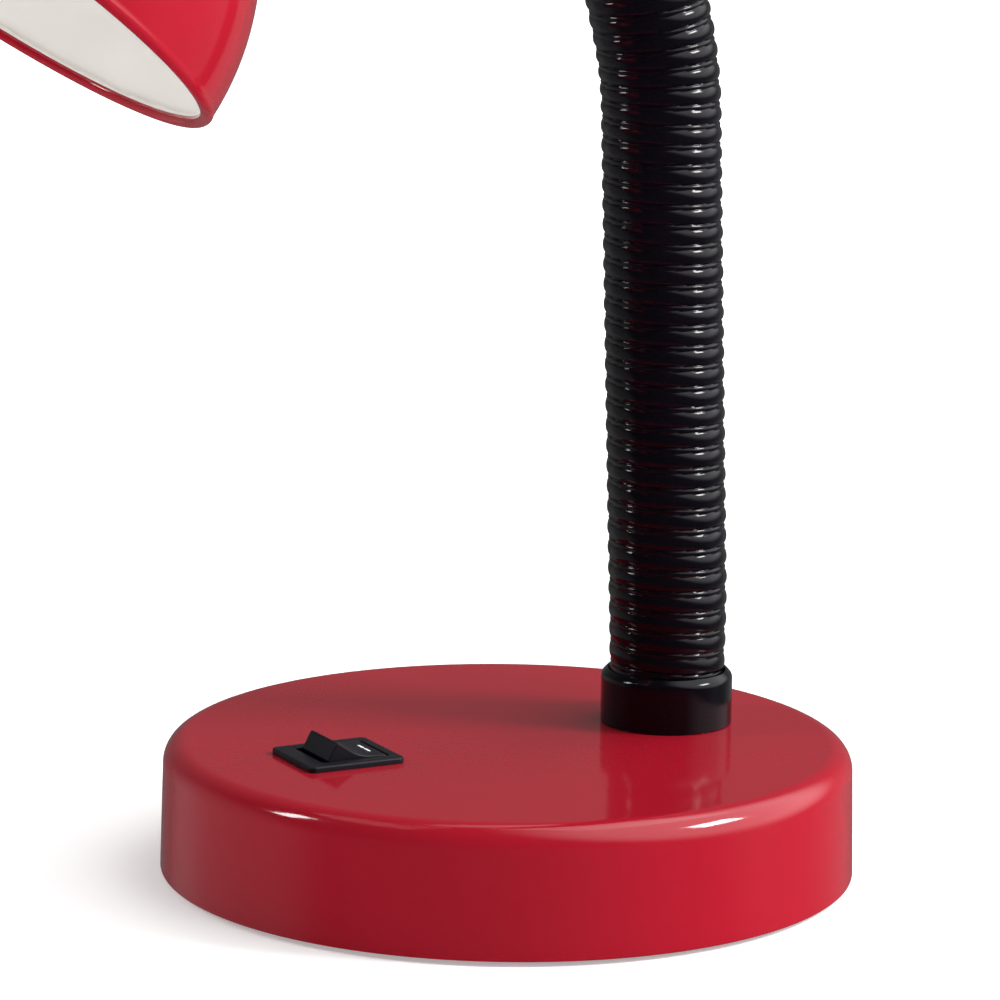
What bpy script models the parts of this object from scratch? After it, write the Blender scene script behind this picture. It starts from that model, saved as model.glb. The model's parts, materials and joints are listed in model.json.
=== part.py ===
"""A gooseneck desk lamp: round weighted base, rocker switch, flexible neck and dome shade.

Lengths are in metres. The base stands on Z = 0, centred on the Z axis. The front of the lamp,
with the switch and the shade, faces -Y, and the neck rises from the back of the base.
"""

import math

import bmesh
import bpy
from mathutils import Matrix, Vector

MM = 0.001

# Clearances.
FIT_GAP = 0.3 * MM
MOVING_GAP = 0.5 * MM

# Base.
BASE_RADIUS = 75.0 * MM
BASE_TOP = 29.0 * MM
BASE_LIFT = 1.0 * MM
BASE_DRAFT = 0.7 * MM
BASE_FILLET = 5.0 * MM
BASE_WALL = 2.5 * MM
PAD_INSET = 5.0 * MM
COVER_THICKNESS = 1.5 * MM
BALLAST_HEIGHT = 9.4 * MM
BALLAST_SIDE_GAP = 3.2 * MM
POST_RADIUS = 6.0 * MM
BOLT_RADIUS = 3.0 * MM
BOLT_HEAD_RADIUS = 7.0 * MM
GROMMET_BORE = 2.5 * MM
GROMMET_NECK = 4.0 * MM
GROMMET_FLANGE = 5.6 * MM
GROMMET_HEIGHT = 19.0 * MM

# Rocker switch, set into the top of the base.
SWITCH_Y = -39.9 * MM
BEZEL_LENGTH = 22.3 * MM
BEZEL_WIDTH = 20.0 * MM
BEZEL_THICKNESS = 1.3 * MM
BEZEL_FORWARD = 1.0 * MM
BEZEL_CORNER = 1.5 * MM
ROCKER_HALF_LENGTH = 6.15 * MM
ROCKER_HALF_WIDTH = 6.4 * MM
ROCKER_END_HEIGHT = 5.15 * MM
ROCKER_DIP = 3.35 * MM
ROCKER_SKIRT = 0.8 * MM
ROCKER_HUB = 3.1 * MM
ROCKER_TILT = 18.0
HOUSING_WALL = 1.4 * MM
HOUSING_DEPTH = 13.5 * MM
PIN_RADIUS = 1.0 * MM

# Neck: sleeve links over core links, hinged to each other along one line.
NECK_Y = 39.2 * MM
SLEEVE_RADIUS = 13.0 * MM
CORE_RADIUS = 9.2 * MM
NIPPLE_RADIUS = 6.0 * MM
NIPPLE_GRIP = 6.0 * MM
FIRST_HINGE_RISE = 24.0 * MM
LOWER_STEP = 40.0 * MM
LOWER_LEAN = 2.2
UPPER_STEP = 37.5 * MM
UPPER_LEAN = 14.0
ARCH_STEP = 16.53 * MM
ARCH_TURN = 21.53
STEPS_PER_RUN = 3
ARCH_HINGES = 6
HINGE_RELIEF = 13.5

# Collars at both ends of the neck.
COLLAR_WALL = 1.1 * MM
COLLAR_TOP_WALL = 0.65 * MM
COLLAR_HEIGHT = 12.1 * MM
COLLAR_ROUND = 1.2 * MM
COLLAR_FLOOR = 3.0 * MM
NUT_RADIUS = 11.0 * MM
NUT_HEIGHT = 5.0 * MM
WASHER_RADIUS = 12.0 * MM
WASHER_THICKNESS = 1.5 * MM

# Head: everything on the shade axis, measured back from the plane of the shade's rim.
NECK_END_TO_RIM = 105.0 * MM
SHADE_RADIUS = 65.0 * MM
SHADE_DEPTH = 62.0 * MM
SHADE_WALL = 1.2 * MM
SHADE_BEAD = 1.4 * MM
SHADE_LIP = 0.2 * MM
SHADE_SEAT = 24.5 * MM
HOLDER_RADIUS = 20.3 * MM
HOLDER_SKIRT = 18.2 * MM
HOLDER_BORE = 14.5 * MM
HOLDER_LENGTH = 35.0 * MM
CUP_WALL = 1.2 * MM
THREAD_SHELL_WALL = 0.6 * MM
RING_RADIUS = 23.5 * MM
RING_HEIGHT = 4.0 * MM
BULB_RADIUS = 22.5 * MM
BULB_LENGTH = 73.0 * MM
BULB_CAP_RADIUS = 13.2 * MM
BULB_CAP_LENGTH = 25.0 * MM
VENT_RADIUS = 2.6 * MM
VENTS = 8

FINISHES = {
    "red_gloss": ((0.43, 0.011, 0.027), 0.0, 0.22),
    "black_gloss": ((0.012, 0.011, 0.014), 0.0, 0.28),
    "black_rubber": ((0.02, 0.02, 0.02), 0.0, 0.8),
    "cast_iron": ((0.08, 0.08, 0.085), 1.0, 0.6),
    "plated_steel": ((0.62, 0.62, 0.6), 1.0, 0.3),
    "brass": ((0.75, 0.55, 0.25), 1.0, 0.3),
    "white_ceramic": ((0.8, 0.79, 0.76), 0.0, 0.3),
    "frosted_glass": ((0.85, 0.85, 0.82), 0.0, 0.35),
}


def finish(name):
    """The named finish as a new material with plain Principled values."""
    colour, metallic, roughness = FINISHES[name]
    material = bpy.data.materials.new(name)
    material.use_nodes = True
    shader = material.node_tree.nodes["Principled BSDF"]
    shader.inputs["Base Color"].default_value = (*colour, 1.0)
    shader.inputs["Metallic"].default_value = metallic
    shader.inputs["Roughness"].default_value = roughness
    material.diffuse_color = (*colour, 1.0)
    return material


def add_object(name, mesh_data, look, place=None):
    """An object from a bmesh, with its own material, shaded smooth between sharp edges."""
    bmesh.ops.recalc_face_normals(mesh_data, faces=mesh_data.faces)
    mesh = bpy.data.meshes.new(name)
    mesh_data.to_mesh(mesh)
    mesh_data.free()
    mesh.shade_smooth()
    mesh.set_sharp_from_angle(angle=math.radians(35))
    obj = bpy.data.objects.new(name, mesh)
    bpy.context.scene.collection.objects.link(obj)
    if look is not None:
        mesh.materials.append(finish(look))
    if place is not None:
        obj.matrix_world = place
    return obj


def turned(name, outline, look, place=None, segments=32):
    """A solid turned round local Z. The outline is a closed loop of (radius, height) points."""
    mesh_data = bmesh.new()
    angles = [2 * math.pi * i / segments for i in range(segments)]
    rings = []
    for radius, height in outline:
        reach = [(math.cos(a), math.sin(a)) for a in angles] if radius > 0 else [(0, 0)]
        rings.append([mesh_data.verts.new((radius * x, radius * y, height)) for x, y in reach])
    for ring, following in zip(rings, rings[1:] + rings[:1]):
        if min(len(ring), len(following)) == 1 and ring[0].co.z == following[0].co.z:
            mesh_data.faces.new(max(ring, following, key=len))
            continue
        for i in range(segments):
            j = (i + 1) % segments
            corners = (
                ring[i % len(ring)],
                ring[j % len(ring)],
                following[j % len(following)],
                following[i % len(following)],
            )
            distinct = list(dict.fromkeys(corners))
            if len(distinct) > 2:
                mesh_data.faces.new(distinct)
    unused = [vert for vert in mesh_data.verts if not vert.link_faces]
    bmesh.ops.delete(mesh_data, geom=unused, context="VERTS")
    return add_object(name, mesh_data, look, place)


def tube_outline(inner, outer, bottom, top):
    """The outline of a plain ring between two radii and two heights."""
    return [(inner, bottom), (outer, bottom), (outer, top), (inner, top)]


def rod_outline(radius, bottom, top):
    """The outline of a plain solid rod."""
    return [(0, bottom), (radius, bottom), (radius, top), (0, top)]


def arc(centre, radius, first, last, steps):
    """Points of (radius, height) along an arc between two angles in degrees."""
    points = []
    for i in range(steps + 1):
        angle = math.radians(first + (last - first) * i / steps)
        points.append((
            centre[0] + radius * math.cos(angle),
            centre[1] + radius * math.sin(angle),
        ))
    return points


def block(name, low, high, look, bevel=0.0, place=None):
    """A box between two corners, with its upright edges bevelled when bevel is above 0."""
    mesh_data = bmesh.new()
    bmesh.ops.create_cube(mesh_data, size=1.0)
    size = Vector(high) - Vector(low)
    middle = (Vector(high) + Vector(low)) / 2
    for vert in mesh_data.verts:
        vert.co = Vector(a * b for a, b in zip(vert.co, size)) + middle
    if bevel > 0:
        standing = [
            edge for edge in mesh_data.edges
            if abs(edge.verts[0].co.z - edge.verts[1].co.z) > abs(size.z) / 2
        ]
        bmesh.ops.bevel(
            mesh_data, geom=standing, offset=bevel, segments=4, profile=0.5, affect="EDGES"
        )
    return add_object(name, mesh_data, look, place)


def extruded(name, outline, half_width, look, place=None):
    """A prism along X whose side outline is a list of (y, z) points."""
    mesh_data = bmesh.new()
    face = mesh_data.faces.new([mesh_data.verts.new((-half_width, y, z)) for y, z in outline])
    grown = bmesh.ops.extrude_face_region(mesh_data, geom=[face])["geom"]
    moved = [item for item in grown if isinstance(item, bmesh.types.BMVert)]
    bmesh.ops.translate(mesh_data, verts=moved, vec=(2 * half_width, 0, 0))
    return add_object(name, mesh_data, look, place)


def cut(target, cutter):
    """Takes the cutter's volume out of the target and leaves the cutter hidden."""
    modifier = target.modifiers.new("cut_" + cutter.name, "BOOLEAN")
    modifier.operation = "DIFFERENCE"
    modifier.solver = "EXACT"
    modifier.object = cutter
    cutter.hide_render = True
    cutter.display_type = "WIRE"


def upright(x, y, z):
    """A placement that only moves."""
    return Matrix.Translation((x, y, z))


def along(point, lean):
    """A placement at a point, with local Z leaning forward from +Z by an angle in degrees."""
    return Matrix.Translation(point) @ Matrix.Rotation(math.radians(lean), 4, "X")


def stepped(point, lean, distance):
    """The point reached by going a distance in the direction of that lean."""
    angle = math.radians(lean)
    return point + Vector((0, -math.sin(angle), math.cos(angle))) * distance


def neck_route():
    """The hinge points up the neck and the lean of the link above each of them."""
    point = Vector((0, NECK_Y, BASE_TOP + FIRST_HINGE_RISE))
    hinges = [point]
    leans = [LOWER_LEAN]
    for i in range(2 * STEPS_PER_RUN):
        step = LOWER_STEP if i < STEPS_PER_RUN else UPPER_STEP
        point = stepped(point, leans[-1], step)
        hinges.append(point)
        leans.append(LOWER_LEAN if i < STEPS_PER_RUN - 1 else UPPER_LEAN)
    leans[-1] = UPPER_LEAN + ARCH_TURN
    for _ in range(ARCH_HINGES - 1):
        point = stepped(point, leans[-1], ARCH_STEP)
        hinges.append(point)
        leans.append(leans[-1] + ARCH_TURN)
    return hinges, leans


def base_outline():
    """The shell's closed outline, from the inside of its rim round to the middle of its top."""
    top_radius = BASE_RADIUS - BASE_DRAFT
    outside = [(BASE_RADIUS, BASE_LIFT)]
    outside += arc(
        (top_radius - BASE_FILLET, BASE_TOP - BASE_FILLET), BASE_FILLET, 0, 90, 6
    )
    inner_fillet = BASE_FILLET - BASE_WALL
    ceiling = BASE_TOP - BASE_WALL
    inside = arc(
        (top_radius - BASE_FILLET, ceiling - inner_fillet), inner_fillet, 90, 0, 4
    )
    inside.append((BASE_RADIUS - BASE_WALL, BASE_LIFT))
    return outside + [(0, BASE_TOP), (0, ceiling)] + inside


def build_base():
    """The shell, its ballast and everything under the base."""
    shell = turned("base_shell", base_outline(), "red_gloss", segments=80)
    nipple_hole = NIPPLE_RADIUS + FIT_GAP
    cut(shell, turned(
        "cut_neck_hole", rod_outline(nipple_hole, 0, 2 * BASE_TOP), None, upright(0, NECK_Y, 0)
    ))
    half_x = ROCKER_HALF_WIDTH + MOVING_GAP + HOUSING_WALL + FIT_GAP
    half_y = housing_half_length() + FIT_GAP
    cut(shell, block(
        "cut_switch_hole",
        (-half_x, SWITCH_Y - half_y, BASE_TOP - 2 * BASE_WALL),
        (half_x, SWITCH_Y + half_y, BASE_TOP + BASE_WALL),
        None,
    ))
    facing_back = Matrix.Translation((0, 0, GROMMET_HEIGHT)) @ Matrix.Rotation(
        math.radians(-90), 4, "X"
    )
    cut(shell, turned(
        "cut_cord_hole",
        rod_outline(GROMMET_NECK + FIT_GAP, BASE_RADIUS / 2, 2 * BASE_RADIUS),
        None,
        facing_back,
    ))

    cover_radius = BASE_RADIUS - BASE_WALL - FIT_GAP
    cover_bottom = BASE_LIFT + FIT_GAP
    cover_top = cover_bottom + COVER_THICKNESS
    bolt_hole = BOLT_RADIUS + FIT_GAP
    turned(
        "bottom_cover",
        tube_outline(BOLT_HEAD_RADIUS + FIT_GAP, cover_radius, cover_bottom, cover_top),
        "plated_steel",
        segments=64,
    )
    turned(
        "foot_pad",
        rod_outline(cover_radius - PAD_INSET, 0, BASE_LIFT),
        "black_rubber",
        segments=64,
    )
    ballast_bottom = cover_top + FIT_GAP
    ballast_top = ballast_bottom + BALLAST_HEIGHT
    turned(
        "ballast_weight",
        tube_outline(bolt_hole, cover_radius - BALLAST_SIDE_GAP, ballast_bottom, ballast_top),
        "cast_iron",
        segments=48,
    )
    post_bottom = ballast_top + FIT_GAP
    post_top = BASE_TOP - BASE_WALL - FIT_GAP
    bolt_top = (post_bottom + post_top) / 2
    turned(
        "tie_post",
        [
            (bolt_hole, post_bottom),
            (POST_RADIUS, post_bottom),
            (POST_RADIUS, post_top),
            (0, post_top),
            (0, bolt_top + FIT_GAP),
            (bolt_hole, bolt_top + FIT_GAP),
        ],
        "plated_steel",
        segments=6 * 4,
    )
    turned(
        "centre_bolt",
        [
            (0, cover_bottom),
            (BOLT_HEAD_RADIUS, cover_bottom),
            (BOLT_HEAD_RADIUS, cover_top),
            (BOLT_RADIUS, cover_top),
            (BOLT_RADIUS, bolt_top),
            (0, bolt_top),
        ],
        "plated_steel",
        segments=24,
    )
    wall_outside = BASE_RADIUS + FIT_GAP
    wall_inside = BASE_RADIUS - BASE_WALL - BASE_DRAFT - 2 * FIT_GAP
    turned(
        "cord_grommet",
        [
            (GROMMET_BORE, wall_inside - BASE_WALL),
            (GROMMET_FLANGE, wall_inside - BASE_WALL),
            (GROMMET_FLANGE, wall_inside),
            (GROMMET_NECK, wall_inside),
            (GROMMET_NECK, wall_outside),
            (GROMMET_FLANGE, wall_outside),
            (GROMMET_FLANGE - FIT_GAP, wall_outside + BASE_WALL),
            (GROMMET_BORE, wall_outside + BASE_WALL),
        ],
        "black_rubber",
        facing_back,
        segments=24,
    )


def housing_half_length():
    """Half of the switch housing's length: the rocker's swept end, its gap and the wall."""
    tilt = math.radians(ROCKER_TILT)
    swept = ROCKER_HALF_LENGTH * math.cos(tilt) + ROCKER_END_HEIGHT * math.sin(tilt)
    return swept + MOVING_GAP + HOUSING_WALL / 2


def build_switch():
    """The rocker switch: housing with its bezel, rocker, pin and contacts."""
    place = upright(0, SWITCH_Y, BASE_TOP)
    cavity_x = ROCKER_HALF_WIDTH + MOVING_GAP
    cavity_y = housing_half_length() - HOUSING_WALL / 2
    outer_x = cavity_x + HOUSING_WALL
    outer_y = housing_half_length()
    floor = -HOUSING_DEPTH + HOUSING_WALL

    housing = block(
        "switch_housing", (-outer_x, -outer_y, -HOUSING_DEPTH), (outer_x, outer_y, FIT_GAP),
        "black_gloss", place=place,
    )
    bezel = block(
        "switch_bezel",
        (-BEZEL_WIDTH / 2, -BEZEL_FORWARD - BEZEL_LENGTH / 2, 2 * FIT_GAP),
        (BEZEL_WIDTH / 2, -BEZEL_FORWARD + BEZEL_LENGTH / 2, BEZEL_THICKNESS),
        "black_gloss", bevel=BEZEL_CORNER, place=place,
    )
    cavity = block(
        "cut_switch_cavity", (-cavity_x, -cavity_y, floor), (cavity_x, cavity_y, HOUSING_DEPTH),
        None, place=place,
    )
    cut(housing, cavity)
    cut(bezel, cavity)

    sideways = place @ Matrix.Rotation(math.radians(90), 4, "Y")
    pin_half = outer_x - FIT_GAP
    pin_hole = turned(
        "cut_pin_hole", rod_outline(PIN_RADIUS + FIT_GAP, -BEZEL_WIDTH, BEZEL_WIDTH), None,
        sideways @ upright(pin_drop(), 0, 0), segments=16,
    )
    cut(housing, pin_hole)
    turned(
        "rocker_pin", rod_outline(PIN_RADIUS, -pin_half, pin_half), "plated_steel",
        sideways @ upright(pin_drop(), 0, 0), segments=16,
    )

    skirt_end = ROCKER_HALF_LENGTH + ROCKER_SKIRT
    outline = [
        (-ROCKER_HALF_LENGTH, ROCKER_END_HEIGHT),
        (0, ROCKER_DIP),
        (ROCKER_HALF_LENGTH, ROCKER_END_HEIGHT),
        (skirt_end, ROCKER_SKIRT),
        (ROCKER_HUB, -ROCKER_HUB),
        (-ROCKER_HUB, -ROCKER_HUB),
        (-skirt_end, ROCKER_SKIRT),
    ]
    pivot = place @ upright(0, 0, -pin_drop())
    tilted = pivot @ Matrix.Rotation(math.radians(-ROCKER_TILT), 4, "X")
    rocker = extruded("switch_rocker", outline, ROCKER_HALF_WIDTH, "black_gloss", tilted)
    cut(rocker, pin_hole)

    blade_width = 2.4 * MM
    tab = 0.4 * MM
    tab_y = cavity_y / 2
    blade_bottom = floor + 2 * HOUSING_WALL
    for name, y in (("terminal_front", -tab_y), ("terminal_back", tab_y)):
        slot = block(
            "cut_slot_" + name,
            (-blade_width - FIT_GAP, y - tab - FIT_GAP, -2 * HOUSING_DEPTH),
            (blade_width + FIT_GAP, y + tab + FIT_GAP, floor + FIT_GAP),
            None, place=place,
        )
        cut(housing, slot)
        block(
            name,
            (-blade_width, y - tab, -HOUSING_DEPTH - HOUSING_WALL),
            (blade_width, y + tab, blade_bottom - FIT_GAP),
            "brass", place=place,
        )
    blade_top = blade_bottom + 2 * tab
    block(
        "contact_blade",
        (-blade_width, -tab_y - HOUSING_WALL, blade_bottom),
        (blade_width, tab_y + HOUSING_WALL, blade_top),
        "brass", place=place,
    )
    plunger_radius = 1.2 * MM
    tilt = math.radians(ROCKER_TILT)
    lowest = -pin_drop() - ROCKER_HUB / math.cos(tilt) - plunger_radius * math.tan(tilt)
    turned(
        "contact_plunger",
        rod_outline(plunger_radius, blade_top + FIT_GAP, lowest - FIT_GAP),
        "plated_steel", place, segments=16,
    )


def pin_drop():
    """How far the rocker's pin lies below the top of the base."""
    return PIN_RADIUS + 2 * FIT_GAP


def collar_outline():
    """A collar standing on its floor, with a rounded top and a bore for the sleeve."""
    bore = SLEEVE_RADIUS + FIT_GAP
    lip = bore + COLLAR_TOP_WALL - COLLAR_ROUND * 0.3
    straight = COLLAR_HEIGHT - 2 * COLLAR_ROUND
    return [
        (NIPPLE_RADIUS + FIT_GAP, 0),
        (bore + COLLAR_WALL, 0),
        (bore + COLLAR_TOP_WALL, straight),
        (lip, COLLAR_HEIGHT - COLLAR_ROUND / 2),
        ((lip + bore) / 2, COLLAR_HEIGHT),
        (bore, COLLAR_HEIGHT),
        (bore, COLLAR_FLOOR),
        (NIPPLE_RADIUS + FIT_GAP, COLLAR_FLOOR),
    ]


def nut_and_washer(prefix, place):
    """A washer and a hexagon nut that hang below the placement, round the nipple."""
    hole = NIPPLE_RADIUS + FIT_GAP
    washer_bottom = -FIT_GAP - WASHER_THICKNESS
    turned(
        prefix + "_washer",
        tube_outline(hole, WASHER_RADIUS, washer_bottom, -FIT_GAP),
        "plated_steel", place,
    )
    nut_top = washer_bottom - FIT_GAP
    nut = turned(
        prefix + "_nut", rod_outline(NUT_RADIUS, nut_top - NUT_HEIGHT, nut_top),
        "plated_steel", place, segments=6,
    )
    cut(nut, turned(
        "cut_" + prefix + "_nut", rod_outline(hole, nut_top - 2 * NUT_HEIGHT, nut_top + NUT_HEIGHT),
        None, place, segments=24,
    ))
    return nut_top - NUT_HEIGHT


def nipple(name, bottom, top, place):
    """A hollow threaded tube that clamps a collar and lets the wires through."""
    wire_bore = NIPPLE_RADIUS * 0.7
    turned(name, tube_outline(wire_bore, NIPPLE_RADIUS, bottom, top), "plated_steel", place, 24)


def link_outline(inner, outer, start, end, relief_at_start, relief_at_end):
    """A link's outline between two heights. A relieved end is a cone that leaves room to bend."""
    slope = math.tan(math.radians(HINGE_RELIEF))

    def recess(radius, relieved):
        return FIT_GAP / 2 + (radius * slope if relieved else 0)

    return [
        (inner, start + recess(inner, relief_at_start)),
        (outer, start + recess(outer, relief_at_start)),
        (outer, end - recess(outer, relief_at_end)),
        (inner, end - recess(inner, relief_at_end)),
    ]


def build_link(number, place, start, end, relief_at_start, relief_at_end):
    """One sleeve link and the core link inside it."""
    ends = (start, end, relief_at_start, relief_at_end)
    turned(
        f"neck_sleeve_{number:02d}",
        link_outline(CORE_RADIUS + FIT_GAP, SLEEVE_RADIUS, *ends),
        "black_gloss", place,
    )
    turned(
        f"neck_core_{number:02d}",
        link_outline(NIPPLE_RADIUS + FIT_GAP, CORE_RADIUS, *ends),
        "plated_steel", place, segments=24,
    )


def build_neck():
    """The lower collar with its fixings, and every link. It returns the shade's placement."""
    foot = upright(0, NECK_Y, BASE_TOP)
    turned("neck_collar", collar_outline(), "black_gloss", foot, segments=40)
    ceiling = foot @ upright(0, 0, -BASE_WALL)
    nut_bottom = nut_and_washer("neck", ceiling)
    nipple(
        "neck_nipple", nut_bottom - BASE_WALL, BASE_WALL + COLLAR_FLOOR + NIPPLE_GRIP, ceiling
    )

    hinges, leans = neck_route()
    build_link(0, foot, COLLAR_FLOOR + FIT_GAP / 2, FIRST_HINGE_RISE, False, True)
    for number, (point, lean) in enumerate(zip(hinges[:-1], leans[:-1]), start=1):
        length = (hinges[number] - point).length
        build_link(number, along(point, lean), 0, length, True, True)

    last = len(hinges)
    half_step = ARCH_STEP / 2
    collar_back = NECK_END_TO_RIM + half_step - collar_face()
    build_link(
        last, along(hinges[-1], leans[-1]), 0, collar_back - COLLAR_FLOOR - FIT_GAP / 2, True, False
    )
    rim_centre = stepped(hinges[-1], leans[-1], NECK_END_TO_RIM + half_step)
    return along(rim_centre, leans[-1]) @ Matrix.Rotation(math.pi, 4, "X")


def shade_height(radius):
    """Height of the dome's outside above the rim plane, at a radius: a quarter of an ellipse."""
    return SHADE_DEPTH * math.sqrt(max(0.0, 1 - (radius / SHADE_RADIUS) ** 2))


def seat_height():
    """Height of the flat outside top of the shade, where the cup stands."""
    return shade_height(SHADE_SEAT)


def holder_top():
    """Height of the lampholder's back face."""
    return seat_height() + FIT_GAP + HOLDER_LENGTH - RING_HEIGHT


def collar_face():
    """Height of the cup's back face, where the upper collar stands."""
    return holder_top() + WASHER_THICKNESS + NUT_HEIGHT + 3 * FIT_GAP + CUP_WALL


def shade_outline():
    """The dome's closed outline: outside, flat seat, inside and the rolled bead at the rim."""
    steps = 14
    first = math.degrees(math.asin(SHADE_SEAT / SHADE_RADIUS))
    outside = []
    inside = []
    for i in range(steps + 1):
        angle = math.radians(first + (90 - first) * i / steps)
        radius = SHADE_RADIUS * math.sin(angle)
        height = SHADE_DEPTH * math.cos(angle)
        thinner = 1 - SHADE_WALL / SHADE_RADIUS
        outside.append((radius, height))
        inside.append((radius * thinner, height - SHADE_WALL * math.cos(angle)))
    outside[-1] = (SHADE_RADIUS, SHADE_BEAD)
    inside[-1] = (SHADE_RADIUS - SHADE_WALL, SHADE_BEAD)
    bead_centre = (SHADE_RADIUS - SHADE_BEAD + SHADE_LIP, 0)
    bead = arc(bead_centre, SHADE_BEAD, 30, -240, 10)
    hole = HOLDER_SKIRT + FIT_GAP
    seat = seat_height()
    return [(hole, seat)] + outside + bead + inside[::-1] + [(hole, seat - SHADE_WALL)]


def build_head(place):
    """The shade, its cup, the lampholder and the bulb, all on the shade's axis."""
    turned("shade", shade_outline(), "red_gloss", place, segments=64)

    seat = seat_height()
    ring_top = seat - SHADE_WALL - FIT_GAP
    skirt_end = ring_top - RING_HEIGHT - FIT_GAP
    shoulder = seat + FIT_GAP
    back = holder_top()
    contact_room = 3.0 * MM
    bore_end = back - contact_room
    turned(
        "lampholder_body",
        [
            (HOLDER_BORE, skirt_end),
            (HOLDER_SKIRT, skirt_end),
            (HOLDER_SKIRT, shoulder),
            (HOLDER_RADIUS, shoulder),
            (HOLDER_RADIUS, back),
            (0, back),
            (0, bore_end),
            (HOLDER_BORE, bore_end),
        ],
        "white_ceramic", place,
    )
    turned(
        "shade_ring", tube_outline(HOLDER_SKIRT + FIT_GAP, RING_RADIUS, skirt_end + FIT_GAP, ring_top),
        "white_ceramic", place,
    )
    shell_outer = HOLDER_BORE - FIT_GAP
    shell_end = bore_end - contact_room
    turned(
        "threaded_shell",
        tube_outline(shell_outer - THREAD_SHELL_WALL, shell_outer, skirt_end, shell_end),
        "brass", place,
    )
    contact_radius = BULB_CAP_RADIUS / 3
    contact_thickness = 1.0 * MM
    contact_bottom = bore_end - FIT_GAP - contact_thickness
    turned(
        "centre_contact", rod_outline(contact_radius, contact_bottom, bore_end - FIT_GAP),
        "brass", place, segments=16,
    )
    build_bulb(contact_bottom - FIT_GAP, place)

    cup_inner = HOLDER_RADIUS + FIT_GAP
    cup_outer = cup_inner + CUP_WALL
    face = collar_face()
    hole = NIPPLE_RADIUS + FIT_GAP
    fillet = 4 * CUP_WALL
    cup = turned(
        "socket_cup",
        [(cup_inner, shoulder), (cup_outer, shoulder)]
        + arc((cup_outer - fillet, face - fillet), fillet, 0, 90, 5)
        + [(hole, face), (hole, face - CUP_WALL)]
        + arc((cup_outer - fillet, face - fillet), fillet - CUP_WALL, 90, 0, 4),
        "red_gloss", place, segments=40,
    )
    for i in range(VENTS):
        aim = Matrix.Rotation(2 * math.pi * (i + 0.5) / VENTS, 4, "Z")
        outward = aim @ Matrix.Rotation(math.radians(90), 4, "Y")
        level = upright(0, 0, face - fillet - 2 * VENT_RADIUS)
        cut(cup, turned(
            f"cut_vent_{i}", rod_outline(VENT_RADIUS, cup_inner / 2, 2 * cup_outer), None,
            place @ level @ outward, segments=12,
        ))
    turned("upper_collar", collar_outline(), "black_gloss", place @ upright(0, 0, face), 40)
    inner_face = place @ upright(0, 0, face - CUP_WALL)
    nut_bottom = nut_and_washer("upper", inner_face)
    nipple(
        "upper_nipple", nut_bottom + FIT_GAP, CUP_WALL + COLLAR_FLOOR + NIPPLE_GRIP, inner_face
    )


def build_bulb(tip, place):
    """A small globe bulb whose contact tip is at a height, pointing out of the shade."""
    cap_end = tip - BULB_CAP_LENGTH
    turned(
        "bulb_cap",
        [
            (0, tip),
            (BULB_CAP_RADIUS / 3, tip),
            (BULB_CAP_RADIUS, tip - BULB_CAP_RADIUS / 3),
            (BULB_CAP_RADIUS, cap_end),
            (0, cap_end),
        ],
        "brass", place,
    )
    neck = BULB_CAP_RADIUS * 0.93
    globe_centre = tip - BULB_LENGTH + BULB_RADIUS
    first = math.degrees(math.acos(neck / BULB_RADIUS))
    globe = arc((0, globe_centre), BULB_RADIUS, first, -90, 14)
    globe[-1] = (0, globe_centre - BULB_RADIUS)
    turned(
        "bulb_glass", [(0, cap_end - FIT_GAP), (neck, cap_end - FIT_GAP)] + globe,
        "frosted_glass", place,
    )


def main():
    """Clears the scene and builds the lamp."""
    for obj in list(bpy.data.objects):
        bpy.data.objects.remove(obj, do_unlink=True)
    build_base()
    build_switch()
    shade_place = build_neck()
    build_head(shade_place)


main()
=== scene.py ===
"""Looks for a gooseneck desk lamp: enamelled base and shade, ribbed neck, rocker switch and bulb.

Lengths are in metres. The front of the lamp faces -Y, and the neck rises near +Y.
"""

import json
import logging
from dataclasses import dataclass, field
from enum import Enum

import bmesh
import bpy
import numpy as np
from mathutils import Matrix, Vector

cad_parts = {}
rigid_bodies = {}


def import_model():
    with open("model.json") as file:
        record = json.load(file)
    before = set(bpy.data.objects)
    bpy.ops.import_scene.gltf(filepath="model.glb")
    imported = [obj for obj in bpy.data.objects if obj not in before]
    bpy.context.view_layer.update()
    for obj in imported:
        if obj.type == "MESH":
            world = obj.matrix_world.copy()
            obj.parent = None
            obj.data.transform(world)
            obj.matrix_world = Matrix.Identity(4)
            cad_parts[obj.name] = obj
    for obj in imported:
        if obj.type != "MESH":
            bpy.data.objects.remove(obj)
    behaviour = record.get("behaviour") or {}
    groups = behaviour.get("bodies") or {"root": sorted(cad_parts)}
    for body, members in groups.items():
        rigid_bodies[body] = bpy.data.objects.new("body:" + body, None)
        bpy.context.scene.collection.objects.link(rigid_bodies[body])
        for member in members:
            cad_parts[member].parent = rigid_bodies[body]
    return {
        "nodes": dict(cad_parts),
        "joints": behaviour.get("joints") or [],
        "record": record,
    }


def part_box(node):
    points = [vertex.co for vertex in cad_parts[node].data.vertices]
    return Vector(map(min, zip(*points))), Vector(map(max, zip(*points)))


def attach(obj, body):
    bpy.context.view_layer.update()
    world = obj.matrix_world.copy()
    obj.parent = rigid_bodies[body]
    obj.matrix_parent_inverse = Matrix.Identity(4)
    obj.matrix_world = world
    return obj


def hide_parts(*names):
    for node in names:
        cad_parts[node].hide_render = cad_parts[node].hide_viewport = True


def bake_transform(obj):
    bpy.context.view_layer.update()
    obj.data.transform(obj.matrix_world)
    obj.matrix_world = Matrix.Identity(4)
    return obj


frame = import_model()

MM = 0.001
SHARP_ANGLE = np.radians(32.0)
X_AXIS = np.array([1.0, 0.0, 0.0])
Z_AXIS = np.array([0.0, 0.0, 1.0])

log = logging.getLogger("lamp")


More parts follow.
